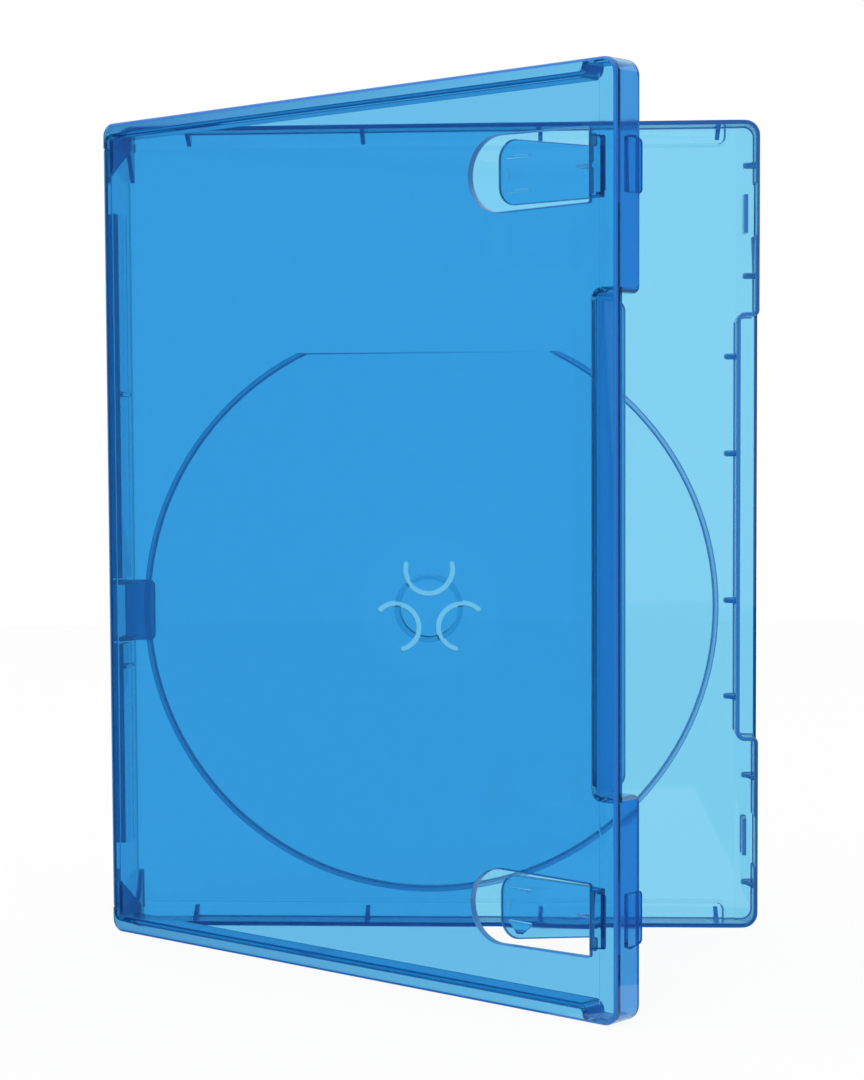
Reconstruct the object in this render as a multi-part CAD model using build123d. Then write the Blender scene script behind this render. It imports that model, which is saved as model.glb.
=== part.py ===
"""Empty keep case for one game disc, standing half open on its foot edge.

The case is one shot of clear blue polypropylene: a front cover, a spine and a rear tray, joined
by two living hinges.  Each half is modelled flat, in a frame of its own:
    x  from the case's spine face to its opening edge
    y  up the case, from mid height
    z  in from the half's outer face
The halves and the spine are then set out as in the closed case, and swung open to the resting pose.
The finished frame has +Z up, +X from the spine to the opening edge along the tray, and its origin
on the surface that the case stands on, in the middle of the tray's foot edge.
"""
import os
from math import cos, radians, sin, tan

from build123d import *

# Closed case
case_height = 171.0
case_width = 135.0
case_depth = 14.0
rim_gap = 0.2

# Resting pose: how far each hinge stands open
tray_hinge_open = 12.4
cover_hinge_open = 26.7

# Panels and walls
panel = 1.1
cover_panel = 1.45
wall = 0.9
edge_round = 0.7
opening_corner = 3.2
hinge_corner = 2.7
border_width = 4.4
border_rise = 0.3
tie = 0.4  # how far one form is sunk into the next, so that the two fuse

# Living hinges: a web with a round bead on the hinge line, and a V groove inside it
web_radius = 0.35
web_clearance = 0.05
groove_half_angle = 43.0
ear_step = 0.35
ear_length = 5.1
ear_clearance = 0.2
ear_gusset_length = 6.0

# Thumb notch in the opening edge
notch_half = 44.5
notch_depth = 3.9
notch_outer_round = 1.3
notch_inner_round = 1.1
nest_clearance = 0.3
nest_lap = 2.65
nest_round = 2.0

# Rear tray: gussets and thinned floor strips
gusset = 0.9
gusset_first = 14.4
gusset_last = 8.6
gusset_count = 4
gusset_reach = 2.6
gusset_top = 5.8
opening_gussets = (9.0, 32.2)
opening_gusset_reach = 2.2
notch_gussets = (8.2, 28.8)
notch_gusset_reach = 2.0
notch_gusset_top = 3.6
strip_width = 4.6
strip_end = 6.6
strip_corner = 1.5
strip_sink = 0.2
strip_step = 1.7
strip_step_sink = 0.1
strip_rib = 0.7
strip_rib_rise = 0.45
strip_rib_start = 4.0

# Latch: tongues on the cover, keeper bars and a thinned wall in the tray
latch_from_end = 18.5
tongue_half = 4.9
tongue = 0.8
tongue_stand = 1.2
tongue_reach = 2.45
tongue_corner = 1.0
tongue_root = 4.2
tongue_root_drop = 0.5
bar = 0.9
bar_length = 8.1
bar_top = 5.4
latch_clearance = 0.3
pocket_sink = 0.3
pocket_margin = 0.6

# Disc well and hub
disc_from_spine = 5.3
disc_from_opening = 9.7
disc_from_foot = 8.4
disc_hole_diameter = 15.0
well_clearance = 0.6
well_chord = 5.2
well_rise = 0.25
ring = 0.9
ring_top = 3.2
hub_play = 0.15
hub_wall = 1.1
hub_top = 4.3
hub_chamfer = 0.3
seat_diameter = 30.4
seat_sink = 0.2
petal_count = 3
petal_first = 90.0
petal_offset = 8.26
petal_radius = 5.07
petal_arc = 206.0
petal_slot = 1.1

# Front cover: inset walls, and booklet clips over their windows
inset = 2.2
inset_end = 8.1
inset_inner_round = 1.0
inset_outer_round = 1.1
inset_ear_round = 1.6
clip_from_end = 18.5
window_start = 6.1
window_end = 33.8
window_half = 6.5
window_flare = 0.4
clip = 1.1
clip_gap = 1.6
clip_reach = 29.2
clip_inner = 5.6
clip_outer = 3.3
clip_flare = 3.6
clip_corner = 3.6
riser = 1.0
riser_half = 5.3
riser_foot_half = 4.8
riser_foot_reach = 2.5
clip_rib = 0.6
clip_rib_rise = 0.4
clip_rib_length = 5.4
clip_rib_place = 3.1
clip_rib_setback = 2.2
clip_stop_length = 2.0
clip_wedge_reach = 5.2
clip_wedge_drop = 1.0

# Spine: stiffening pad and the finger that keeps the disc down
pad_low = 5.1
pad_high = 10.2
pad_rise = 1.0
pad_half = 67.0
cross_bar = 0.9
cross_bar_rise = 0.6
cross_bar_place = 29.0
finger = 1.0
finger_half = 6.5
finger_reach = 8.0
finger_corner = 1.3
finger_margin = 0.5
finger_gusset_reach = 3.0

# Sizes that follow from those above
half_height = case_height / 2
half_depth = case_depth / 2
rim = half_depth - rim_gap / 2
floor = panel - tie
hinge_x = ear_step + web_radius
hinge_depth = web_radius
ear_start = half_height - ear_length
spine_half = ear_start - ear_clearance
spine_inner = ear_step + panel
cover_notch_depth = notch_depth + wall + nest_clearance
bar_outer = tongue_stand + tongue + latch_clearance
latch_centre = half_height - latch_from_end
clip_centre = half_height - clip_from_end
disc_radius = (case_width - disc_from_spine - disc_from_opening) / 2
disc_x = disc_from_spine + disc_radius
disc_y = disc_from_foot + disc_radius - half_height
hub_radius = disc_hole_diameter / 2 - hub_play
well_radius = disc_radius + well_clearance
gusset_pitch = (case_width - gusset_first - gusset_last) / (gusset_count - 1)


def face_through(points, radii):
    """Closed flat shape through the points, each corner rounded by its own radius."""
    return make_face(FilletPolyline(*points, radius=radii, close=True))


def plate(face, bottom, top):
    """Flat shape turned into a plate between two heights."""
    return extrude(Pos(0, 0, bottom) * face, amount=top - bottom)


def block(x1, x2, y1, y2, z1, z2):
    """Rectangular block between two opposite corners."""
    return Pos((x1 + x2) / 2, (y1 + y2) / 2, (z1 + z2) / 2) * Box(x2 - x1, y2 - y1, z2 - z1)


def upper_and_lower(form):
    """A form and its twin on the other side of mid height."""
    return form + mirror(form, Plane.XZ)


def rib_along_x(root, reach, height, y, width=gusset):
    """Triangular gusset that leaves a wall's face at x = root and runs over the floor towards the spine."""
    side = 1 if reach > 0 else -1
    profile = Polyline((root + side * tie, floor), (root - reach, floor), (root - reach, panel),
                       (root, height), (root + side * tie, height), close=True)
    return extrude(Plane.XZ.offset(-y) * make_face(profile), amount=width / 2, both=True)


def rib_along_y(root, reach, height, x):
    """Triangular gusset that leaves a wall's face at y = root and runs over the floor towards mid height."""
    profile = Polyline((root + tie, floor), (root - reach, floor), (root - reach, panel),
                       (root, height), (root + tie, height), close=True)
    return extrude(Plane.YZ.offset(x) * make_face(profile), amount=gusset / 2, both=True)


def hinge_groove():
    """Room for the hinge web along a half's spine side, between its two ears."""
    mouth = hinge_x + web_clearance
    top = half_depth
    lean = (top - hinge_depth) / tan(radians(groove_half_angle))
    section = make_face(Polyline((-panel, -panel), (mouth, -panel), (mouth, hinge_depth),
                                 (mouth + lean, top), (-panel, top), close=True))
    section += Pos(hinge_x, hinge_depth) * Circle(web_radius + web_clearance)
    return extrude(Plane.XZ * section, amount=ear_start, both=True)


def outer_panel(thickness):
    """Outer panel of a half: rounded corners, soft outer edge, thicker border along the opening edge."""
    outline = face_through(
        [(0, -half_height), (case_width, -half_height), (case_width, half_height), (0, half_height)],
        [hinge_corner, opening_corner, opening_corner, hinge_corner])
    form = extrude(outline, amount=thickness)
    form = fillet(form.faces().sort_by(Axis.Z)[0].edges(), edge_round)
    border = outline & Pos(case_width - border_width / 2, 0) * Rectangle(border_width, case_height)
    form += plate(border, floor, thickness + border_rise)
    return form - hinge_groove()


def rim_wall(points, radii):
    """Wall along an outline, from the panel to the rim, left out along the spine between the ears."""
    outline = face_through(points, radii)
    band = outline - offset(outline, amount=-wall)
    band -= Rectangle(2 * hinge_corner, 2 * ear_start)
    return plate(band, floor, rim)


def ear_gussets(wall_face):
    """Sloping ribs that stiffen the wall's ends beside the hinge, clear of the spine plate."""
    low = ear_start - ear_gusset_length
    profile = Polyline((low, floor), (wall_face + tie, floor), (wall_face + tie, rim),
                       (ear_start, rim), (low, panel), close=True)
    start = Plane.YZ.offset(spine_inner + ear_clearance)
    return upper_and_lower(extrude(start * make_face(profile), amount=wall))


def strip_outline(start, step):
    """Outline of a strip along the tray's head wall, drawn in from the strip's own edge by a step."""
    far = case_width - strip_end - step
    edge = half_height - strip_width + step
    return face_through([(start, edge), (far, edge), (far, half_height + panel), (start, half_height + panel)],
                        [0, strip_corner, 0, 0])


def strip_ribs():
    """Low rib along the edge of each thinned strip, up to the wall."""
    band = strip_outline(strip_rib_start, -strip_rib / 2) - strip_outline(strip_rib_start - panel, strip_rib / 2)
    band &= Pos(case_width / 2, 0) * Rectangle(case_width, case_height - 2 * (wall - tie))
    return upper_and_lower(plate(band, floor - strip_sink, panel + strip_rib_rise))


def tray_floor():
    """Tray panel with its thinned strips, the slightly raised disc well and the ring round it."""
    form = outer_panel(panel)
    for step, sink in ((0, strip_sink), (strip_step, strip_sink + strip_step_sink)):
        form -= upper_and_lower(plate(strip_outline(-panel, step), panel - sink, half_depth))
    form += strip_ribs()
    chord = disc_y + disc_radius - well_chord
    below_chord = Pos(disc_x, chord - case_height / 2) * Rectangle(case_width, case_height)
    well = (Pos(disc_x, disc_y) * Circle(well_radius + ring)) & below_chord
    round_it = well - Pos(disc_x, disc_y) * Circle(well_radius)
    form += plate(well, floor, panel + well_rise)
    seat = panel + well_rise - seat_sink
    form -= plate(Pos(disc_x, disc_y) * Circle(seat_diameter / 2), seat, half_depth)
    return form + plate(round_it, floor, ring_top)


def tray_gussets():
    """Small triangular gussets round the tray, which keep its walls square."""
    wall_face = half_height - wall
    form = Part()
    for index in range(gusset_count):
        x = gusset_first + index * gusset_pitch
        form += upper_and_lower(rib_along_y(wall_face, gusset_reach, gusset_top, x))
    for from_end in opening_gussets:
        y = half_height - from_end
        form += upper_and_lower(rib_along_x(case_width - wall, opening_gusset_reach, gusset_top, y))
    for from_end in notch_gussets:
        y = notch_half - from_end
        root = case_width - notch_depth - wall
        form += upper_and_lower(rib_along_x(root, notch_gusset_reach, notch_gusset_top, y))
    return form


def latch_keeps():
    """Low bars that stand behind the cover's latch tongues when the case is shut."""
    x = case_width - bar_outer
    start = latch_centre - tongue_half
    return upper_and_lower(block(x - bar, x, start, start + bar_length, floor, bar_top))


def latch_pockets():
    """Room in the tray's opening wall for the latch tongues, open at the rim."""
    x = case_width - wall
    reach = tongue_half + pocket_margin
    return upper_and_lower(block(x - tie, x + pocket_sink, latch_centre - reach, latch_centre + reach,
                                 panel + border_rise, half_depth + tie))


def disc_hub():
    """Hollow boss that fills the hole of the disc."""
    boss = Pos(disc_x, disc_y, (floor + hub_top) / 2) * Cylinder(hub_radius, hub_top - floor)
    return chamfer(boss.edges().filter_by(GeomType.CIRCLE).sort_by(Axis.Z)[-1], hub_chamfer)


def hub_hollow():
    """Space under the hub's cap, open at the tray's outer face."""
    top = hub_top - panel
    return Pos(disc_x, disc_y, (top - panel) / 2) * Cylinder(hub_radius - hub_wall, top + panel)


def hub_slots():
    """U-shaped slots that free three sprung petals of the hub."""
    form = Part()
    for index in range(petal_count):
        angle = petal_first + index * 360 / petal_count
        x = disc_x + petal_offset * cos(radians(angle))
        y = disc_y + petal_offset * sin(radians(angle))
        line = CenterArc((x, y), petal_radius, angle + 180 - petal_arc / 2, petal_arc)
        form += plate(SlotArc(line, petal_slot), -panel, hub_top + panel)
    return form


def rear_tray():
    """Back half: walls all round, thumb notch, disc well and hub, latch keeps."""
    notch = case_width - notch_depth
    walls = rim_wall(
        [(0, -half_height), (case_width, -half_height), (case_width, -notch_half), (notch, -notch_half),
         (notch, notch_half), (case_width, notch_half), (case_width, half_height), (0, half_height)],
        [hinge_corner, opening_corner, notch_outer_round, notch_inner_round,
         notch_inner_round, notch_outer_round, opening_corner, hinge_corner])
    form = tray_floor() + (walls - latch_pockets())
    form += ear_gussets(half_height - wall)
    form += tray_gussets()
    form += latch_keeps()
    form += disc_hub()
    form -= hub_hollow()
    return form - hub_slots()


def latch_tongues():
    """Latch tongues inside the cover's opening wall, which reach into the tray."""
    inner = case_width - tongue_stand - tongue
    top = half_depth + tongue_reach
    root = block(inner, case_width - wall + tie, latch_centre - tongue_half, latch_centre + tongue_half,
                 tongue_root, rim - tongue_root_drop)
    face = face_through(
        [(latch_centre - tongue_half, tongue_root), (latch_centre + tongue_half, tongue_root),
         (latch_centre + tongue_half, top), (latch_centre - tongue_half, top)],
        [0, 0, tongue_corner, tongue_corner])
    return upper_and_lower(root + extrude(Plane.YZ.offset(inner) * face, amount=tongue))


def nest_lip():
    """Taller part of the cover's notch wall, which nests behind the tray's."""
    reach = notch_half - notch_inner_round
    top = half_depth + nest_lap
    face = face_through([(-reach, rim - tie), (reach, rim - tie), (reach, top), (-reach, top)],
                        [0, 0, nest_round, nest_round])
    return extrude(Plane.YZ.offset(case_width - cover_notch_depth - wall) * face, amount=wall)


def clip_window():
    """U-shaped window in the cover under a booklet clip."""
    near = case_width - window_start
    far = case_width - window_end
    wide = window_half + window_flare
    sides = Polyline((far + wide, clip_centre + wide), (near, clip_centre + window_half),
                     (near, clip_centre - window_half), (far + wide, clip_centre - wide))
    end = ThreePointArc((far + wide, clip_centre - wide), (far, clip_centre), (far + wide, clip_centre + wide))
    return plate(make_face(sides + end), -panel, half_depth)


def booklet_clip():
    """Sprung plate on a riser, which holds a booklet against the cover."""
    face_of_riser = case_width - window_start
    root = face_of_riser + riser
    tip = case_width - clip_reach
    low = cover_panel + clip_gap
    top = low + clip
    face = face_through(
        [(root, clip_centre - clip_inner), (root, clip_centre + clip_outer),
         (tip, clip_centre + clip_outer + clip_flare), (tip, clip_centre - clip_inner)],
        [0, 0, clip_corner, clip_corner])
    form = plate(face, low, top)
    form += block(face_of_riser, root, clip_centre - riser_half, clip_centre + riser_half, floor, top)
    form += rib_along_x(root, -riser_foot_reach, top - tie, clip_centre, 2 * riser_foot_half)
    start = tip + clip_rib_setback
    for side in (-1, 1):
        y = clip_centre + side * clip_rib_place
        form += block(start, start + clip_rib_length, y - clip_rib / 2, y + clip_rib / 2, low - clip_rib_rise, top)
    form += block(start, start + clip_rib, clip_centre - clip_stop_length / 2, clip_centre + clip_stop_length / 2,
                  low - clip_rib_rise, top)
    wedge = Polyline((face_of_riser + tie, low - clip_wedge_drop), (face_of_riser, low - clip_wedge_drop),
                     (face_of_riser - clip_wedge_reach, low), (face_of_riser - clip_wedge_reach, top - tie),
                     (face_of_riser + tie, top - tie), close=True)
    return form + extrude(Plane.XZ.offset(-clip_centre) * make_face(wedge), amount=clip_rib / 2, both=True)


def front_cover():
    """Front half: inset head and foot walls, thumb notch, latch tongues, booklet clips and windows."""
    notch = case_width - cover_notch_depth
    step = case_width - inset_end
    inner = half_height - inset
    walls = rim_wall(
        [(0, -inner), (step, -inner), (step, -half_height), (case_width, -half_height),
         (case_width, -notch_half), (notch, -notch_half), (notch, notch_half), (case_width, notch_half),
         (case_width, half_height), (step, half_height), (step, inner), (0, inner)],
        [inset_ear_round, inset_inner_round, inset_outer_round, opening_corner,
         notch_outer_round, notch_inner_round, notch_inner_round, notch_outer_round,
         opening_corner, inset_outer_round, inset_inner_round, inset_ear_round])
    form = outer_panel(cover_panel) - upper_and_lower(clip_window())
    form += walls
    form += ear_gussets(inner - wall)
    form += latch_tongues()
    form += nest_lip()
    return form + upper_and_lower(booklet_clip())


def disc_finger():
    """Finger on the spine that lies over the disc's edge when the case is shut, with its end ribs."""
    face = face_through(
        [(spine_inner - tie, disc_y - finger_half), (finger_reach, disc_y - finger_half),
         (finger_reach, disc_y + finger_half), (spine_inner - tie, disc_y + finger_half)],
        [0, finger_corner, finger_corner, 0])
    form = extrude(Plane.XZ.offset(pad_low) * face, amount=finger)
    section = make_face(Polyline(
        (spine_inner - tie, -pad_low - finger + tie), (spine_inner + finger_gusset_reach, -pad_low - finger + tie),
        (spine_inner + finger_gusset_reach, -pad_low - finger), (spine_inner + pad_rise, -pad_high),
        (spine_inner - tie, -pad_high), close=True))
    form += plate(section, disc_y + finger_half - gusset, disc_y + finger_half)
    return form + plate(section, disc_y - finger_half, disc_y - finger_half + gusset)


def spine():
    """Spine plate in the closed case's place (y back to front, z up), with its two hinge webs."""
    lean = panel - web_radius
    run = hinge_depth + web_clearance
    slope = lean / tan(radians(groove_half_angle))
    far = case_depth - run
    section = make_face(Polyline(
        (ear_step, -run), (hinge_x, -run), (spine_inner, -run - slope),
        (spine_inner, slope - far), (hinge_x, -far), (ear_step, -far), close=True))
    section += Pos(hinge_x, -hinge_depth) * Circle(web_radius)
    section += Pos(hinge_x, hinge_depth - case_depth) * Circle(web_radius)
    form = plate(section, -spine_half, spine_half)
    top = spine_inner + pad_rise
    edge = finger_half + finger_margin
    form += block(spine_inner - tie, top, -pad_high, -pad_low, disc_y + edge, pad_half)
    form += block(spine_inner - tie, top, -pad_high, -pad_low, -pad_half, disc_y - edge)
    for z in (-cross_bar_place, cross_bar_place):
        form += block(spine_inner - tie, top + cross_bar_rise, -pad_high, -pad_low,
                      z - cross_bar / 2, z + cross_bar / 2)
    return form + disc_finger()


tray_hinge = Axis((hinge_x, -hinge_depth, 0), (0, 0, 1))
cover_hinge = Axis((hinge_x, hinge_depth - case_depth, 0), (0, 0, 1))

closed_tray = Rot(90, 0, 0) * rear_tray()
closed_cover = Pos(0, -case_depth, 0) * Rot(-90, 0, 0) * front_cover()
open_cover = closed_cover.rotate(cover_hinge, -cover_hinge_open).rotate(tray_hinge, -tray_hinge_open)
open_spine = spine().rotate(tray_hinge, -tray_hinge_open)
stand = Pos(-case_width / 2, half_depth / 2, half_height)

os.makedirs("parts", exist_ok=True)
export_step(stand * closed_tray, "parts/rear_tray.step")
export_step(stand * open_spine, "parts/spine.step")
export_step(stand * open_cover, "parts/front_cover.step")
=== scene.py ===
# %% [markdown]
# # An empty disc case in clear blue polypropylene
# The case is one shot of transparent plastic: a front cover, a narrow spine and a rear tray, joined
# by two living hinges.  It stands half open on its foot edge, on white, with nothing in it.
# This lesson loads the three solids, gives them softened edges and a plastic that darkens with
# the length of the light's way through it, and lights them so that the white behind shines through.

# %% Load the solids
import itertools
import math

import bpy
from mathutils import Matrix, Vector
from mathutils.geometry import intersect_line_line_2d, intersect_point_line


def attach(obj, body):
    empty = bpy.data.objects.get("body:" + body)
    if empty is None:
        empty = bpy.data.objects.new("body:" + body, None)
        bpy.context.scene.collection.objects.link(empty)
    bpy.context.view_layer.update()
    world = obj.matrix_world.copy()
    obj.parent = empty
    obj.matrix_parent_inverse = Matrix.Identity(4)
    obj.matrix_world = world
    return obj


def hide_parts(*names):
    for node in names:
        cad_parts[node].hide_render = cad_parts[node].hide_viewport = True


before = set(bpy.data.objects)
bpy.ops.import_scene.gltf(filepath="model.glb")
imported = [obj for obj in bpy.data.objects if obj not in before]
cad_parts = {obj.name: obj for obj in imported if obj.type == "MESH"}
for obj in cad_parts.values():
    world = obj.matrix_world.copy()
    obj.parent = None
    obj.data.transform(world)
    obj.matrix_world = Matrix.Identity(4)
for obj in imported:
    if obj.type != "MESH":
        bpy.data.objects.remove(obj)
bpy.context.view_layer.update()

# %% [markdown]
# ## Units and colours
# The frame is in metres, and a case is measured in millimetres, so one value turns the one into
# the other.  Colours are written as the hex values a picture editor shows, and one function turns
# them to the linear light that the shaders add up.

# %% Units and colours
MM = 0.001
WHITE = "#FFFFFF"


def linear(hex_colour):
    """The linear red, green, blue and alpha of an sRGB hex colour."""
    channels = []
    for place in (1, 3, 5):
        value = int(hex_colour[place:place + 2], 16) / 255
        channels.append(value / 12.92 if value <= 0.04045 else ((value + 0.055) / 1.055) ** 2.4)
    return (*channels, 1.0)


print("pure white is", linear(WHITE))

# %% [markdown]
# ## One helper for nodes
# A shader tree is a list of nodes with settings, input values and links.  Adding them by one small
# function keeps each finish readable as a recipe: what the node is, what it is set to, what feeds it.

# %% The node helper


def add_node(tree, kind, settings=None, **inputs):
    """Adds a node, then sets or links its inputs, by their name with _ for a space or by place as i0."""
    node = tree.nodes.new(kind)
    for name, value in (settings or {}).items():
        setattr(node, name, value)
    for name, value in inputs.items():
        numbered = name[0] == "i" and name[1:].isdigit()
        socket = node.inputs[int(name[1:]) if numbered else name.replace("_", " ")]
        if isinstance(value, bpy.types.NodeSocket):
            tree.links.new(value, socket)
        else:
            socket.default_value = value
    return node


print("node helper ready")

# %% [markdown]
# ## Clear blue polypropylene
# The plastic is random-copolymer polypropylene, injection moulded in a polished tool: glassy, with a
# faint haze.  Light that crosses a panel loses red first, so one panel is pale blue and two are deep
# blue.  A pure dye in the volume would turn every wall that is seen along its height navy, and the
# real plastic doesn't do that, because its haze sends light in from the sides.  So the larger share
# of the tint is a surface colour, which each crossing takes once, and the rest is a Volume
# Absorption, which grows with the length of the way.  The pieces carry marks on their faces.  "milky"
# says how much of the light a face scatters instead of letting it through.  The edge shade mark says
# how far a face's colour goes from the pale panel to a deeper blue, which is painted shade: it stands
# in for the dark lines that edges, ribs and rims show where they bend the light aside.  "opening_wall"
# marks the cover's wall opposite the spine, which is painted a darker blue than the rest of the same
# plastic, as painted shade.

# %% The plastic
PLASTIC_IOR = 1.49
DYE_COLOUR = "#96DBEB"
DYE_DENSITY = 250.0
COVER_TINT = "#7BCDF6"
TRAY_TINT = "#8BD9F8"
# The next four colours are painted shade: a deeper blue for the cover's opening wall, and deeper blues
# for edges, ribs and rims, where the plastic bends the light aside.
OPENING_WALL_SHADE = "#4FA3E8"
COVER_EDGE_SHADE = "#0A7CDE"
TRAY_EDGE_SHADE = "#1674D2"
SPINE_EDGE_SHADE = "#1E8AEC"
HAZE_MM = 9.0
HAZE_DETAIL = 3.0
HAZE_LOW = 0.3
HAZE_HIGH = 0.7
POLISHED_ROUGHNESS = 0.015
HAZY_ROUGHNESS = 0.045
MILKY_ROUGHNESS = 0.4


def clear_blue_polypropylene(name, panel_tint, shade_colour):
    """Moulded clear blue polypropylene, tinted at each surface and along the way through it, with
    painted shade on edges and on the opening wall.
    """
    material = bpy.data.materials.new(name)
    material.use_nodes = True
    tree = material.node_tree
    tree.nodes.clear()
    place = add_node(tree, "ShaderNodeTexCoord")
    haze = add_node(tree, "ShaderNodeTexNoise", Vector=place.outputs["Object"],
                    Scale=1 / (HAZE_MM * MM), Detail=HAZE_DETAIL)
    rough = add_node(tree, "ShaderNodeMapRange", Value=haze.outputs["Fac"], From_Min=HAZE_LOW,
                     From_Max=HAZE_HIGH, To_Min=POLISHED_ROUGHNESS, To_Max=HAZY_ROUGHNESS)
    milky = add_node(tree, "ShaderNodeAttribute", {"attribute_name": "milky"})
    edge_shade = add_node(tree, "ShaderNodeAttribute", {"attribute_name": "edge_shade"})
    wall = add_node(tree, "ShaderNodeAttribute", {"attribute_name": "opening_wall"})
    rough = add_node(tree, "ShaderNodeMix", {"data_type": "FLOAT"}, i0=milky.outputs["Fac"],
                     i2=rough.outputs["Result"], i3=MILKY_ROUGHNESS)
    clear = add_node(tree, "ShaderNodeMath", {"operation": "SUBTRACT"}, i0=1.0,
                     i1=milky.outputs["Fac"])
    # Painted shade: the opening wall, and then each face by its edge shade mark, is coloured a darker
    # blue than the panel.
    tint_and_shade = add_node(tree, "ShaderNodeMix", {"data_type": "RGBA"}, i0=wall.outputs["Fac"],
                    i6=linear(panel_tint), i7=linear(OPENING_WALL_SHADE))
    tint_and_shade = add_node(tree, "ShaderNodeMix", {"data_type": "RGBA"}, i0=edge_shade.outputs["Fac"],
                    i6=tint_and_shade.outputs[2], i7=linear(shade_colour))
    shader = add_node(tree, "ShaderNodeBsdfPrincipled", Base_Color=tint_and_shade.outputs[2],
                      Roughness=rough.outputs[0], IOR=PLASTIC_IOR, Transmission_Weight=clear.outputs[0])
    dye = add_node(tree, "ShaderNodeVolumeAbsorption", Color=linear(DYE_COLOUR), Density=DYE_DENSITY)
    add_node(tree, "ShaderNodeOutputMaterial", Surface=shader.outputs["BSDF"],
             Volume=dye.outputs["Volume"])
    return material


cover_plastic = clear_blue_polypropylene("clear_blue_polypropylene_cover", COVER_TINT, COVER_EDGE_SHADE)
tray_plastic = clear_blue_polypropylene("clear_blue_polypropylene_tray", TRAY_TINT, TRAY_EDGE_SHADE)
spine_plastic = clear_blue_polypropylene("clear_blue_polypropylene_spine", TRAY_TINT, SPINE_EDGE_SHADE)
print("plastics:", cover_plastic.name, tray_plastic.name, spine_plastic.name)

# %% [markdown]
# ## Which way the panels face
# Each piece is a thin panel with walls and rims on its inner side.  What a face is can be told from
# how far it faces across its panel: a wall hardly does, a panel or the top of a rim fully does, and a
# slope lies between.  The directions follow from how far the case stands open at its two hinges.

# %% Directions
SPINE_TURN = math.radians(12.4)
COVER_TURN = math.radians(39.1)
ACROSS = {
    "rear_tray": Vector((0, -1, 0)),
    "spine": Vector((math.cos(SPINE_TURN), -math.sin(SPINE_TURN), 0)),
    "front_cover": Vector((math.sin(COVER_TURN), math.cos(COVER_TURN), 0)),
}
COVER_ALONG = Vector((math.cos(COVER_TURN), -math.sin(COVER_TURN), 0))
WALL_TILT = 0.12
FLAT_TILT = 0.985

print("the cover stands open by", round(math.degrees(COVER_TURN), 1), "degrees")

# %% [markdown]
# ## Closed shells
# The solids arrive as loose triangles.  A copy of each is merged into a closed shell, because light
# only knows where the plastic starts and ends if the shell has no seams.  Flat triangles are then
# joined into whole faces, so that a bevel finds clean outlines.  The hub keeps its triangles, because
# its slots are finer than anything a bevel could follow.

# %% Merging
MERGE_REACH = 0.005 * MM
FLAT_ANGLE = math.radians(0.5)
HUB_CENTRE = Vector((-2.2, 0, 68.4)) * MM
HUB_REACH = 13 * MM


def near_hub(point, node):
    """Whether a point of the tray lies at the hub or its petals."""
    away = math.hypot(point.x - HUB_CENTRE.x, point.z - HUB_CENTRE.z)
    return node == "rear_tray" and away < HUB_REACH


def merge_solid(piece, node):
    """Merges the triangles of a solid and joins the flat ones, away from the hub's fine slots."""
    bpy.ops.object.mode_set(mode="EDIT")
    bpy.ops.mesh.select_mode(type="VERT")
    bpy.ops.mesh.select_all(action="SELECT")
    bpy.ops.mesh.remove_doubles(threshold=MERGE_REACH)
    bpy.ops.object.mode_set(mode="OBJECT")
    for vertex in piece.data.vertices:
        vertex.select = not near_hub(vertex.co, node)
    bpy.ops.object.mode_set(mode="EDIT")
    bpy.ops.mesh.select_mode(type="EDGE")
    bpy.ops.mesh.dissolve_limited(angle_limit=FLAT_ANGLE)
    bpy.ops.object.mode_set(mode="OBJECT")
    print(piece.name, "merged into", len(piece.data.polygons), "faces")


print("merging within", round(MERGE_REACH / MM, 3), "mm")

# %% [markdown]
# ## Where no bevel goes
# A mould maker breaks the edges of a moulding by a fraction of a millimetre, and a bevel does that
# here.  On a step that is hardly higher than the bevel it would eat the step, so the edges of such
# strips are found first: two edges of one face that run closer together than half a millimetre.

# %% Narrow strips
LOW_STEP = 0.5 * MM
MOSTLY_ACROSS = 0.7


def middle_of(piece, edge):
    """The middle of an edge."""
    return sum((piece.data.vertices[i].co for i in edge.vertices), Vector()) / 2


def narrow_edges(piece, node, pinches):
    """The edges of walls lower than a low step, and where asked, of pinches in the face of a panel."""
    across = ACROSS[node]
    points = [vertex.co for vertex in piece.data.vertices]
    narrow = set()
    for face in piece.data.polygons:
        tilt = abs(face.normal.dot(across))
        panel = pinches and tilt >= FLAT_TILT
        if near_hub(face.center, node) or not (panel or tilt <= WALL_TILT):
            continue
        for one, two in itertools.permutations(face.edge_keys, 2):
            middle = (points[one[0]] + points[one[1]]) / 2
            foot, share = intersect_point_line(middle, points[two[0]], points[two[1]])
            gap = foot - middle
            if gap.length > LOW_STEP or not 0 <= share <= 1 or set(one) & set(two):
                continue
            if panel or abs(gap.dot(across)) > MOSTLY_ACROSS * gap.length:
                narrow.add(one)
    return narrow


print("edges stay sharp at steps under", round(LOW_STEP / MM, 2), "mm")

# %% [markdown]
# ## Bevels that run into each other
# Where two sharp edges lie close, their bevels can overlap, and the outline of the face between them
# then crosses itself.  Opaque plastic would hide that, but in clear plastic such a face shows black.
# Each face that has a triangle turned over is laid flat, in millimetres, and the lines of its outline
# are tested against each other.  Edges near a crossing are left sharp.

# %% Crowded bevels
CROWD = 0.9 * MM


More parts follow.
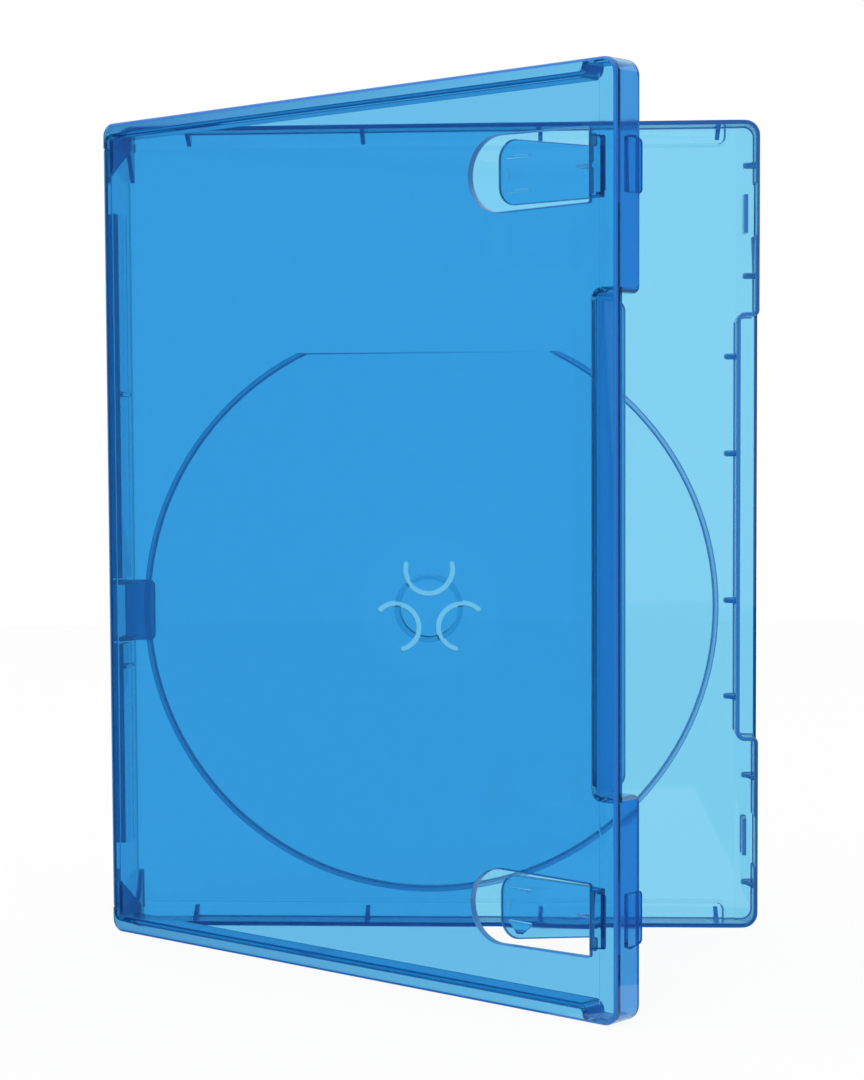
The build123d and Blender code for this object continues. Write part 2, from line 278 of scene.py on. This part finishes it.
def crossings(piece):
    """The places where the outline of a face runs across itself."""
    mesh = piece.data
    mesh.calc_loop_triangles()
    turned = set()
    for triangle in mesh.loop_triangles:
        if triangle.normal.dot(mesh.polygons[triangle.polygon_index].normal) < 0:
            turned.add(triangle.polygon_index)
    places = []
    for face in (mesh.polygons[index] for index in turned):
        side = face.normal.orthogonal().normalized() / MM
        up = face.normal.cross(side)
        points = [mesh.vertices[i].co for i in face.vertices]
        flat = [Vector((point.dot(side), point.dot(up))) for point in points]
        lines = list(zip(flat, flat[1:] + flat[:1], points))
        for one, two in itertools.combinations(lines, 2):
            if one[1] is two[0] or two[1] is one[0]:
                continue
            meet = intersect_line_line_2d(one[0], one[1], two[0], two[1])
            if meet:
                shift = (meet.x - one[0].x) * side + (meet.y - one[0].y) * up
                places.append(one[2] + shift * MM * MM)
    return places


def is_crowded(piece, edge, crowded, whole):
    """Whether an edge, or only its middle, lies at a place where two bevels ran into each other."""
    ends = [piece.data.vertices[i].co for i in edge.vertices]
    for place in crowded:
        foot, share = intersect_point_line(place, *ends)
        near = ends[0].lerp(ends[1], min(max(share, 0), 1) if whole else 0.5)
        if (near - place).length < CROWD:
            return True
    return False


print("a bevel within", round(CROWD / MM, 2), "mm of a crossing is left out")

# %% [markdown]
# ## Rounding the edges
# The bevel is tried on a fresh copy of the shell, and tried again without the crowded edges for as
# long as outlines still cross: at first without those whose middle is at a crossing, then without any
# that come near one.  The operator is used and not the modifier, because it takes just the edges that
# are selected in code.  In tight corners a bevel can also throw a point off the solid, and such points
# go back between their neighbours.

# %% Rounding
SHARP_ANGLE = math.radians(40)
EDGE_ROUND = 0.2 * MM
EDGE_SEGMENTS = 2
BEVEL_SLOT = 1
STRAY = 0.1 * MM


def bevel_sharp(piece, node, left_out):
    """Bevels the sharp edges, apart from the hub's and those left out; new faces take the bevel slot."""
    bpy.ops.object.mode_set(mode="EDIT")
    bpy.ops.mesh.select_all(action="DESELECT")
    bpy.ops.mesh.edges_select_sharp(sharpness=SHARP_ANGLE)
    bpy.ops.object.mode_set(mode="OBJECT")
    for edge in piece.data.edges:
        if edge.select and (near_hub(middle_of(piece, edge), node) or left_out(edge)):
            edge.select = False
    # A face that is still selected would bring its edges back in edit mode.
    piece.data.polygons.foreach_set("select", [False] * len(piece.data.polygons))
    bpy.ops.object.mode_set(mode="EDIT")
    bpy.ops.mesh.bevel(offset=EDGE_ROUND, segments=EDGE_SEGMENTS, affect="EDGES", clamp_overlap=False,
                       material=BEVEL_SLOT, miter_outer="ARC")
    bpy.ops.object.mode_set(mode="OBJECT")


def tuck_in(piece, solid):
    """Moves points that the bevel threw off the solid between their neighbours, and into its box."""
    points = piece.data.vertices
    stray = {point.index for point in points
             if (solid.closest_point_on_mesh(point.co)[1] - point.co).length > STRAY}
    beside = {index: [] for index in stray}
    for edge in piece.data.edges:
        for one, two in (edge.vertices, reversed(edge.vertices)):
            if one in stray and two not in stray:
                beside[one].append(points[two].co.copy())
    for index, near in beside.items():
        if near:
            points[index].co = sum(near, Vector()) / len(near)
    corners = [Vector(corner) for corner in solid.bound_box]
    for axis in range(3):
        low = min(corner[axis] for corner in corners)
        high = max(corner[axis] for corner in corners)
        for point in points:
            point.co[axis] = min(max(point.co[axis], low), high)
    print(piece.name, "stray bevel points tucked in:", len(stray))


def round_edges(piece, node):
    """Bevels the sharp edges, apart from low steps, the hub, and places too narrow for two bevels."""
    plain = piece.data
    narrow = narrow_edges(piece, node, True)
    crowded = []
    for whole in (False, False, True, True, True):
        piece.data = plain.copy()
        bevel_sharp(piece, node,
                    lambda edge: edge.key in narrow or is_crowded(piece, edge, crowded, whole))
        found = crossings(piece)
        print(piece.name, "bevels that run into each other:", len(found))
        if not found:
            break
        crowded += found
    tuck_in(piece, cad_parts[node])


print("edges sharper than", round(math.degrees(SHARP_ANGLE)), "degrees are broken by",
      round(EDGE_ROUND / MM, 2), "mm")

# %% [markdown]
# ## Soft shading and flat panels
# Round shapes are shaded smooth up to a small angle, and a low step is shaded as a soft line in its
# panel.  Weighted normals then keep the large panels flat to the eye, so that what is behind them
# isn't bent.

# %% Shading
SMOOTH_ANGLE = math.radians(28)
PANEL_WEIGHT = 100


def shade(piece, node):
    """Smooths the small angles and the low steps of a piece, and keeps its panels flat."""
    bpy.ops.object.shade_smooth_by_angle(angle=SMOOTH_ANGLE)
    narrow = narrow_edges(piece, node, False)
    for edge in piece.data.edges:
        if edge.key in narrow and not near_hub(middle_of(piece, edge), node):
            edge.use_edge_sharp = False
    flatten = piece.modifiers.new("flat_panels", "WEIGHTED_NORMAL")
    flatten.keep_sharp = True
    flatten.weight = PANEL_WEIGHT
    bpy.ops.object.modifier_apply(modifier=flatten.name)


print("smooth up to", round(math.degrees(SMOOTH_ANGLE)), "degrees")

# %% [markdown]
# ## Haze and painted edge shade of the spine
# In clear plastic the panels nearly vanish, and edges, ribs and rims draw the case, because they send
# the light sideways.  To trace that, the real haze would have to be known.  So each kind of face has
# two numbers, judged one by one: how milky it is, and how far its colour goes to a deeper blue, which
# is painted shade for the light that the face sends aside.  The spine is clear between its two hinge
# lines and solid at them.

# %% Spine
HINGE = Vector((-66.8, 3.15, 0)) * MM
FAR_HINGE = Vector((-69.66, -9.84, 0)) * MM
HINGE_REACH = 1.6 * MM
FACE_ON = 0.9
# Each pair is the milkiness, then the painted edge shade.
SPINE = (0.06, 0.1)
SPINE_END = (0.55, 0.5)
SPINE_ROOT = (0.6, 0.0)
SPINE_SIDE = (0.4, 0.25)


def at_line(face, line):
    """Whether a face lies at a hinge line."""
    return math.hypot(face.center.x - line.x, face.center.y - line.y) < HINGE_REACH


def spine_haze_and_shade(face):
    """The milkiness and painted edge shade of one face of the spine."""
    if at_line(face, FAR_HINGE):
        return SPINE_END
    if at_line(face, HINGE):
        return SPINE_ROOT
    return SPINE if abs(face.normal.dot(ACROSS["spine"])) > FACE_ON else SPINE_SIDE


print("the spine is", round((FAR_HINGE - HINGE).length / MM, 1), "mm from hinge line to hinge line")

# %% [markdown]
# ## Haze and painted edge shade of the tray
# The tray is a floor with a disc well, whose ring is a low, wide rib, and with a high rim all round.
# How far a face lies from the outside of the floor tells them apart.  The hub stays clear.

# %% Tray
PANEL_DEPTH = 1.5 * MM
RIB_DEPTH = 2.5 * MM
RIM_DEPTH = 6.0 * MM
RING_SPREAD = 50.0 * MM
WEB_REACH = 7.0 * MM
UPWARDS = Vector((0, 0, 1))
# Each pair is the milkiness, then the painted edge shade: how far the face goes to a deeper blue that
# stands in for the light it sends aside.
CLEAR = (0.0, 0.0)
STEP = (0.2, 0.15)
ROLLED = (0.8, 1.0)
RIB = (0.75, 1.0)
RIM = (0.6, 1.0)
RING = (0.4, 0.45)
WEB = (0.15, 0.2)
TRAY_BEVEL = (0.7, 0.8)
TRAY_WALL = (0.25, 0.5)
TRAY_HINGE = (0.5, 0.0)


def spread(piece, face, direction):
    """How far a face reaches along a direction."""
    places = [piece.data.vertices[i].co.dot(direction) for i in face.vertices]
    return max(places) - min(places)


def is_ring(piece, face, depth):
    """Whether a face of the tray is the wide ring round the disc well."""
    return RIB_DEPTH < depth < RIM_DEPTH and spread(piece, face, UPWARDS) > RING_SPREAD


def tray_haze_and_shade(face, depth, facing, step, ring):
    """The milkiness and painted edge shade of one face of the tray, from what it does in the moulding.
    """
    if near_hub(face.center, "rear_tray") and not ring:
        return CLEAR
    if at_line(face, HINGE):
        return TRAY_HINGE
    if step:
        return STEP
    if face.material_index == BEVEL_SLOT:
        return TRAY_BEVEL
    if WALL_TILT < abs(facing) < FLAT_TILT:
        return ROLLED if depth < PANEL_DEPTH else RIB
    if abs(facing) <= WALL_TILT:
        return CLEAR if depth < PANEL_DEPTH else TRAY_WALL
    if facing < 0 or depth <= RIB_DEPTH:
        return CLEAR
    if ring:
        return RING
    if face.center.x < HINGE.x + WEB_REACH:
        return WEB
    return RIM if depth > RIM_DEPTH else RIB


print("the tray's rim starts", round(RIM_DEPTH / MM, 1), "mm over its outside")

# %% [markdown]
# ## Haze and painted edge shade of the cover
# The cover stands in front and is seen from its outside, so its walls, clips and risers show through
# its own panel.  Its hinge band is the most milky place of the case.  Outside the head and foot walls
# runs a ledge, which gets painted shade, darker towards the hinge.

# %% Cover
COVER_HINGE_REACH = 2.0 * MM
OPENING_WALL_DEPTH = 2.3 * MM
TONGUE_DEPTH = 8.0 * MM
NOTCH_LOW = 41.0 * MM
NOTCH_HIGH = 130.0 * MM
LEDGE_LOW = 4.0 * MM
LEDGE_HIGH = 167.0 * MM
LEDGE_DEPTH_LOW = 0.8 * PANEL_DEPTH
LEDGE_DEPTH_HIGH = 1.05 * PANEL_DEPTH
OUTWARD = -0.1
END_ON = 0.8
# Each pair is the milkiness, then the painted edge shade; on the ledges both fade out towards the
# opening.
OUTER_BEVEL = (0.7, 0.7)
INNER_BEVEL = (0.3, 0.8)
OUTER_HINGE = (0.9, 0.5)
INNER_HINGE = (0.25, 0.1)
HEAD_LEDGE = (0.4, 0.8)
FOOT_LEDGE = (0.3, 0.5)
SLOPE = (0.7, 0.6)
CUT = (0.75, 0.6)
RISER = (0.65, 0.6)
NOTCH = (0.15, 0.0)
OPENING = (0.06, 0.05)
COVER_WALL = (0.2, 0.0)


def on_ledge(face, depth, facing):
    """Whether a face of the cover is the ledge outside its head or foot wall."""
    at_end = face.center.z < LEDGE_LOW or face.center.z > LEDGE_HIGH
    return at_end and facing > FLAT_TILT and LEDGE_DEPTH_LOW < depth < LEDGE_DEPTH_HIGH


def cover_wall_haze_and_shade(face, depth, along, far):
    """The milkiness and painted edge shade of one wall of the cover; the latch tongues, which reach
    furthest in, are clear.
    """
    if depth < PANEL_DEPTH:
        return CUT
    if abs(face.normal.dot(COVER_ALONG)) < END_ON:
        return COVER_WALL
    if along > far - OPENING_WALL_DEPTH:
        return CLEAR if depth > TONGUE_DEPTH else OPENING
    return NOTCH if NOTCH_LOW < face.center.z < NOTCH_HIGH else RISER


def cover_haze_and_shade(face, depth, facing, step, ends):
    """The milkiness and painted edge shade of one face of the cover, from what it does in the moulding.
    """
    along = face.center.dot(COVER_ALONG)
    if along < ends[0] + COVER_HINGE_REACH:
        return OUTER_HINGE if facing < OUTWARD else INNER_HINGE
    if step:
        return STEP
    if face.material_index == BEVEL_SLOT:
        return OUTER_BEVEL if depth < PANEL_DEPTH else INNER_BEVEL
    if WALL_TILT < abs(facing) < FLAT_TILT:
        return ROLLED if depth < PANEL_DEPTH else SLOPE
    if abs(facing) <= WALL_TILT:
        return cover_wall_haze_and_shade(face, depth, along, ends[1])
    if on_ledge(face, depth, facing):
        return HEAD_LEDGE if face.center.z > LEDGE_HIGH else FOOT_LEDGE
    return CLEAR


print("the cover's hinge band is", round(COVER_HINGE_REACH / MM, 1), "mm wide")

# %% [markdown]
# ## Marks on the faces
# The milkiness and the painted edge shade are stored as attributes of the mesh, one number for each
# corner of a face, and the plastic reads them.  A material for each pair would do too, but one material
# with marks is easier to change, and lets the ledges' haze and painted shade fade from the hinge to the
# opening.

# %% Marks


def mark(piece, name, domain, values):
    """Stores one number per face or face corner under a name that the plastic reads."""
    layer = piece.data.attributes.new(name, "FLOAT", domain)
    layer.data.foreach_set("value", [float(value) for value in values])


def face_haze_and_shade(piece, node, face, depth, ends):
    """The milkiness and painted edge shade of one face of any piece."""
    if node == "spine":
        return spine_haze_and_shade(face)
    facing = face.normal.dot(ACROSS[node])
    step = abs(facing) <= WALL_TILT and spread(piece, face, ACROSS[node]) < LOW_STEP
    if node == "rear_tray":
        return tray_haze_and_shade(face, depth, facing, step, is_ring(piece, face, depth))
    return cover_haze_and_shade(face, depth, facing, step, ends)


def haze_and_shade_marks(piece, node):
    """The milkiness and painted edge shade of all face corners; on the ledges both fade out towards the
    opening.
    """
    places = [vertex.co.dot(COVER_ALONG) for vertex in piece.data.vertices]
    depths = [vertex.co.dot(ACROSS[node]) for vertex in piece.data.vertices]
    outer = min(depths)
    ends = (min(places), max(places))
    marks = []
    for face in piece.data.polygons:
        depth = max(depths[i] for i in face.vertices) - outer
        haze_shade = face_haze_and_shade(piece, node, face, depth, ends)
        # The ledges' haze and painted shade fade from the hinge to the opening.
        fades = haze_shade in (HEAD_LEDGE, FOOT_LEDGE)
        for i in face.vertices:
            fade = (ends[1] - places[i]) / (ends[1] - ends[0]) if fades else 1.0
            marks.append((haze_shade[0] * fade, haze_shade[1] * fade))
    return marks


def opening_marks(piece, node):
    """1 on both faces of the cover's opening wall and on its latch tongues, 0 elsewhere."""
    far = max(vertex.co.dot(COVER_ALONG) for vertex in piece.data.vertices)
    return [node == "front_cover" and abs(face.normal.dot(COVER_ALONG)) > END_ON
            and face.center.dot(COVER_ALONG) > far - OPENING_WALL_DEPTH for face in piece.data.polygons]


print("marks: milky, deep, opening_wall")

# %% [markdown]
# ## The three mouldings
# Each moulding is a copy of its solid that goes through the steps above: merged, rounded, shaded and
# marked.  It then stands for the solid, and moves with the solid's body.  The bevels' own slot was
# only there to tell their faces apart, so it goes again at the end.

# %% The mouldings


def loose_copy(node, plastic):
    """A copy of a solid with a mesh of its own, alone selected, with a second slot for the bevels."""
    bpy.ops.object.select_all(action="DESELECT")
    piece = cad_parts[node].copy()
    piece.data = piece.data.copy()
    piece.name = node + "_moulding"
    piece.parent = None
    for key in list(piece.keys()):
        del piece[key]
    bpy.context.scene.collection.objects.link(piece)
    piece.select_set(True)
    bpy.context.view_layer.objects.active = piece
    piece.data.materials.clear()
    piece.data.materials.append(plastic)
    piece.data.materials.append(plastic)
    bpy.ops.mesh.customdata_custom_splitnormals_clear()
    return piece


def moulding(node, body, plastic):
    """A merged, rounded and marked copy of a solid that stands for it and moves with its body."""
    piece = loose_copy(node, plastic)
    merge_solid(piece, node)
    round_edges(piece, node)
    shade(piece, node)
    haze_shades = haze_and_shade_marks(piece, node)
    opening = opening_marks(piece, node)
    mark(piece, "milky", "CORNER", [milky for milky, edge_shade in haze_shades])
    mark(piece, "edge_shade", "CORNER", [edge_shade for milky, edge_shade in haze_shades])
    mark(piece, "opening_wall", "FACE", opening)
    piece.data.polygons.foreach_set("material_index", [0] * len(piece.data.polygons))
    piece.data.materials.pop(index=BEVEL_SLOT)
    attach(piece, body)
    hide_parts(node)
    print(piece.name, len(opening), "faces,", sum(milky > 0 for milky, edge_shade in haze_shades),
          "milky corners,", sum(opening), "faces on the opening wall")
    return piece


tray = moulding("rear_tray", "tray", tray_plastic)
spine = moulding("spine", "spine", spine_plastic)
cover = moulding("front_cover", "cover", cover_plastic)
print("mouldings:", tray.name, spine.name, cover.name)

# %% [markdown]
# ## Floor
# The case stands on a white table, which shines through the plastic.  White paper under a lamp alone
# would come out grey in places, so the paper also glows, but only for rays that are seen, from the
# camera or by way of the plastic.  Light that falls on the case doesn't get stronger by it.

# %% Floor
FLOOR_RADIUS = 0.9
FLOOR_SIDES = 128
FLOOR_DROP = 0.06 * MM
FLOOR_GLOW = 0.92
PAPER_COLOUR = "#F4F4F2"


def seen(tree):
    """A socket that is 1 for rays from the camera, through plastic or off it, and 0 for other light."""
    rays = add_node(tree, "ShaderNodeLightPath")
    either = add_node(tree, "ShaderNodeMath", {"operation": "MAXIMUM"},
                      i0=rays.outputs["Is Camera Ray"], i1=rays.outputs["Is Transmission Ray"])
    any_of_them = add_node(tree, "ShaderNodeMath", {"operation": "MAXIMUM"},
                           i0=either.outputs[0], i1=rays.outputs["Is Glossy Ray"])
    return any_of_them.outputs[0]


bpy.ops.object.select_all(action="DESELECT")
bpy.ops.mesh.primitive_circle_add(vertices=FLOOR_SIDES, radius=FLOOR_RADIUS, fill_type="NGON",
                                  location=(0, 0, -FLOOR_DROP))
floor = bpy.context.object
floor.name = "white_table"

table = bpy.data.materials.new("white_table_paper")
table.use_nodes = True
tree = table.node_tree
tree.nodes.clear()
share = add_node(tree, "ShaderNodeMath", {"operation": "MULTIPLY"}, i0=seen(tree), i1=FLOOR_GLOW)
paper = add_node(tree, "ShaderNodeBsdfDiffuse", Color=linear(PAPER_COLOUR))
glow = add_node(tree, "ShaderNodeEmission", Color=linear(WHITE), Strength=1.0)
both = add_node(tree, "ShaderNodeMixShader", i0=share.outputs[0], i1=paper.outputs[0],
                i2=glow.outputs[0])
add_node(tree, "ShaderNodeOutputMaterial", Surface=both.outputs[0])
floor.data.materials.append(table)
print("floor:", floor.name, "of", FLOOR_RADIUS, "m radius")

# %% [markdown]
# ## White ground
# The ground behind the case is plain white where it is seen, and a little dimmer as light on the case.
# A ray of light crosses many walls on its way through a half-open case, and turns black if it may
# not bounce often enough, so the number of bounces is raised.

# %% World
ROOM_LIGHT = 0.8
LIGHT_BOUNCES = 16

world = bpy.data.worlds.new("white_ground")
bpy.context.scene.world = world
world.use_nodes = True
tree = world.node_tree
tree.nodes.clear()
room = add_node(tree, "ShaderNodeBackground", Color=linear(WHITE), Strength=ROOM_LIGHT)
white = add_node(tree, "ShaderNodeBackground", Color=linear(WHITE), Strength=1.0)
both = add_node(tree, "ShaderNodeMixShader", i0=seen(tree), i1=room.outputs[0], i2=white.outputs[0])
add_node(tree, "ShaderNodeOutputWorld", Surface=both.outputs[0])
bpy.context.scene.cycles.max_bounces = LIGHT_BOUNCES
bpy.context.scene.cycles.transmission_bounces = LIGHT_BOUNCES
print("world:", world.name, "with", LIGHT_BOUNCES, "bounces")

# %% [markdown]
# ## Cloth and cards
# Clear plastic mirrors whatever stands round it, and white on every side would veil the blue.  A
# photographer hangs dark cloth round such an object, just out of the picture.  Here a round of dark
# cloth lies under the case and rises round it, and only reflections show it.  A white card in front of
# the tray lightens its foot, and a grey card further off lightens a corner of the cover.

# %% Cloth and cards
CLOTH_RADIUS = 1.3
CLOTH_HEIGHT = 0.7
CLOTH_SIDES = 96
CLOTH_DROP = 0.04 * MM
CLOTH_LEVEL = 0.08
WHITE_CARD_PLACE = (0.045, -0.11, -0.02 * MM)
WHITE_CARD_SIZE = (0.046, 0.19, 1)
WHITE_CARD_LEVEL = 0.9
GREY_CARD_PLACE = (0.1, -1.0, 0.16)
GREY_CARD_TURN = (math.radians(90), 0, 0)
GREY_CARD_SIZE = (0.5, 0.36, 1)
GREY_CARD_LEVEL = 0.7


def seen_in_reflections(thing, name, level):
    """Makes a stage piece that only reflections show, with an even brightness."""
    thing.name = name
    thing.visible_camera = False
    thing.visible_diffuse = False
    thing.visible_transmission = False
    thing.visible_volume_scatter = False
    thing.visible_shadow = False
    felt = bpy.data.materials.new(name + "_felt")
    felt.use_nodes = True
    felt.node_tree.nodes.clear()
    even = add_node(felt.node_tree, "ShaderNodeEmission", Color=linear(WHITE), Strength=level)
    add_node(felt.node_tree, "ShaderNodeOutputMaterial", Surface=even.outputs[0])
    thing.data.materials.append(felt)


bpy.ops.mesh.primitive_cylinder_add(vertices=CLOTH_SIDES, radius=CLOTH_RADIUS, depth=CLOTH_HEIGHT,
                                    location=(0, 0, CLOTH_HEIGHT / 2 - CLOTH_DROP))
cloth = bpy.context.object
bpy.ops.object.mode_set(mode="EDIT")
bpy.ops.mesh.select_all(action="DESELECT")
bpy.ops.object.mode_set(mode="OBJECT")
for face in cloth.data.polygons:
    face.select = face.normal.z > FACE_ON
bpy.ops.object.mode_set(mode="EDIT")
bpy.ops.mesh.select_mode(type="FACE")
bpy.ops.mesh.delete(type="FACE")
bpy.ops.object.mode_set(mode="OBJECT")
seen_in_reflections(cloth, "dark_cloth_round", CLOTH_LEVEL)

bpy.ops.mesh.primitive_plane_add(size=1, location=WHITE_CARD_PLACE)
card = bpy.context.object
card.scale = WHITE_CARD_SIZE
seen_in_reflections(card, "white_card", WHITE_CARD_LEVEL)

bpy.ops.mesh.primitive_plane_add(size=1, location=GREY_CARD_PLACE, rotation=GREY_CARD_TURN)
backing = bpy.context.object
backing.scale = GREY_CARD_SIZE
seen_in_reflections(backing, "grey_card", GREY_CARD_LEVEL)
print("reflections:", cloth.name, card.name, backing.name)

# %% [markdown]
# ## Light
# One large soft box hangs overhead, a little to the left and to the front.  It is weak, because most
# of what the eye gets comes from the white behind the plastic.

# %% Light
SOFT_BOX_PLACE = Vector((-0.2, -0.2, 1.1))
SOFT_BOX_AIM = Vector((0, 0, 0.08))
SOFT_BOX_SIDE = 0.9
SOFT_BOX_POWER = 3.0

light = bpy.data.lights.new("overhead_soft_box", "AREA")
light.shape = "RECTANGLE"
light.size = SOFT_BOX_SIDE
light.size_y = SOFT_BOX_SIDE
light.energy = SOFT_BOX_POWER
lamp = bpy.data.objects.new("overhead_soft_box", light)
lamp.location = SOFT_BOX_PLACE
lamp.rotation_euler = (SOFT_BOX_AIM - SOFT_BOX_PLACE).to_track_quat("-Z", "Y").to_euler()
bpy.context.scene.collection.objects.link(lamp)
print("lamp:", lamp.name, "with", SOFT_BOX_POWER, "W")

# %% [markdown]
# ## Camera
# The camera stands where the photograph was taken from: a little above mid height, with a long lens,
# and with a small shift because the picture was cropped.  Its values were fitted to the case's outer
# edges in pixels of the photograph, and are turned here to what a lens and a sensor need.

# %% Camera
PHOTO_WIDE = 864
PHOTO_HIGH = 1080
FOCAL_PIXELS = 2462.769
CENTRE_X = 388.595
CENTRE_Y = 596.537
PITCH = math.radians(3.625)
YAW = math.radians(-3.369)
ROLL = math.radians(-0.348)
EYE = Vector((19.834, -527.686, 104.397)) * MM
SENSOR_MM = 36.0
NEAREST = 0.01
FARTHEST = 20

ahead = Vector((math.sin(YAW) * math.cos(PITCH), math.cos(YAW) * math.cos(PITCH), -math.sin(PITCH)))
level = Vector((math.cos(YAW), -math.sin(YAW), 0))
upright = level.cross(ahead)
right = level * math.cos(ROLL) + upright * math.sin(ROLL)
up = upright * math.cos(ROLL) - level * math.sin(ROLL)

camera_data = bpy.data.cameras.new("photo_camera")
camera_data.sensor_width = SENSOR_MM
camera_data.lens = FOCAL_PIXELS * SENSOR_MM / PHOTO_HIGH
camera_data.shift_x = (PHOTO_WIDE / 2 - CENTRE_X) / PHOTO_HIGH
camera_data.shift_y = (CENTRE_Y - PHOTO_HIGH / 2) / PHOTO_HIGH
camera_data.clip_start = NEAREST
camera_data.clip_end = FARTHEST
camera = bpy.data.objects.new("photo_camera", camera_data)
bpy.context.scene.collection.objects.link(camera)
turn = Matrix((right, up, -ahead)).transposed().to_4x4()
camera.matrix_world = Matrix.Translation(EYE) @ turn
bpy.context.scene.camera = camera
bpy.context.scene.view_settings.view_transform = "Standard"
print("camera:", round(camera_data.lens, 1), "mm lens at", tuple(round(value, 3) for value in EYE), "m")
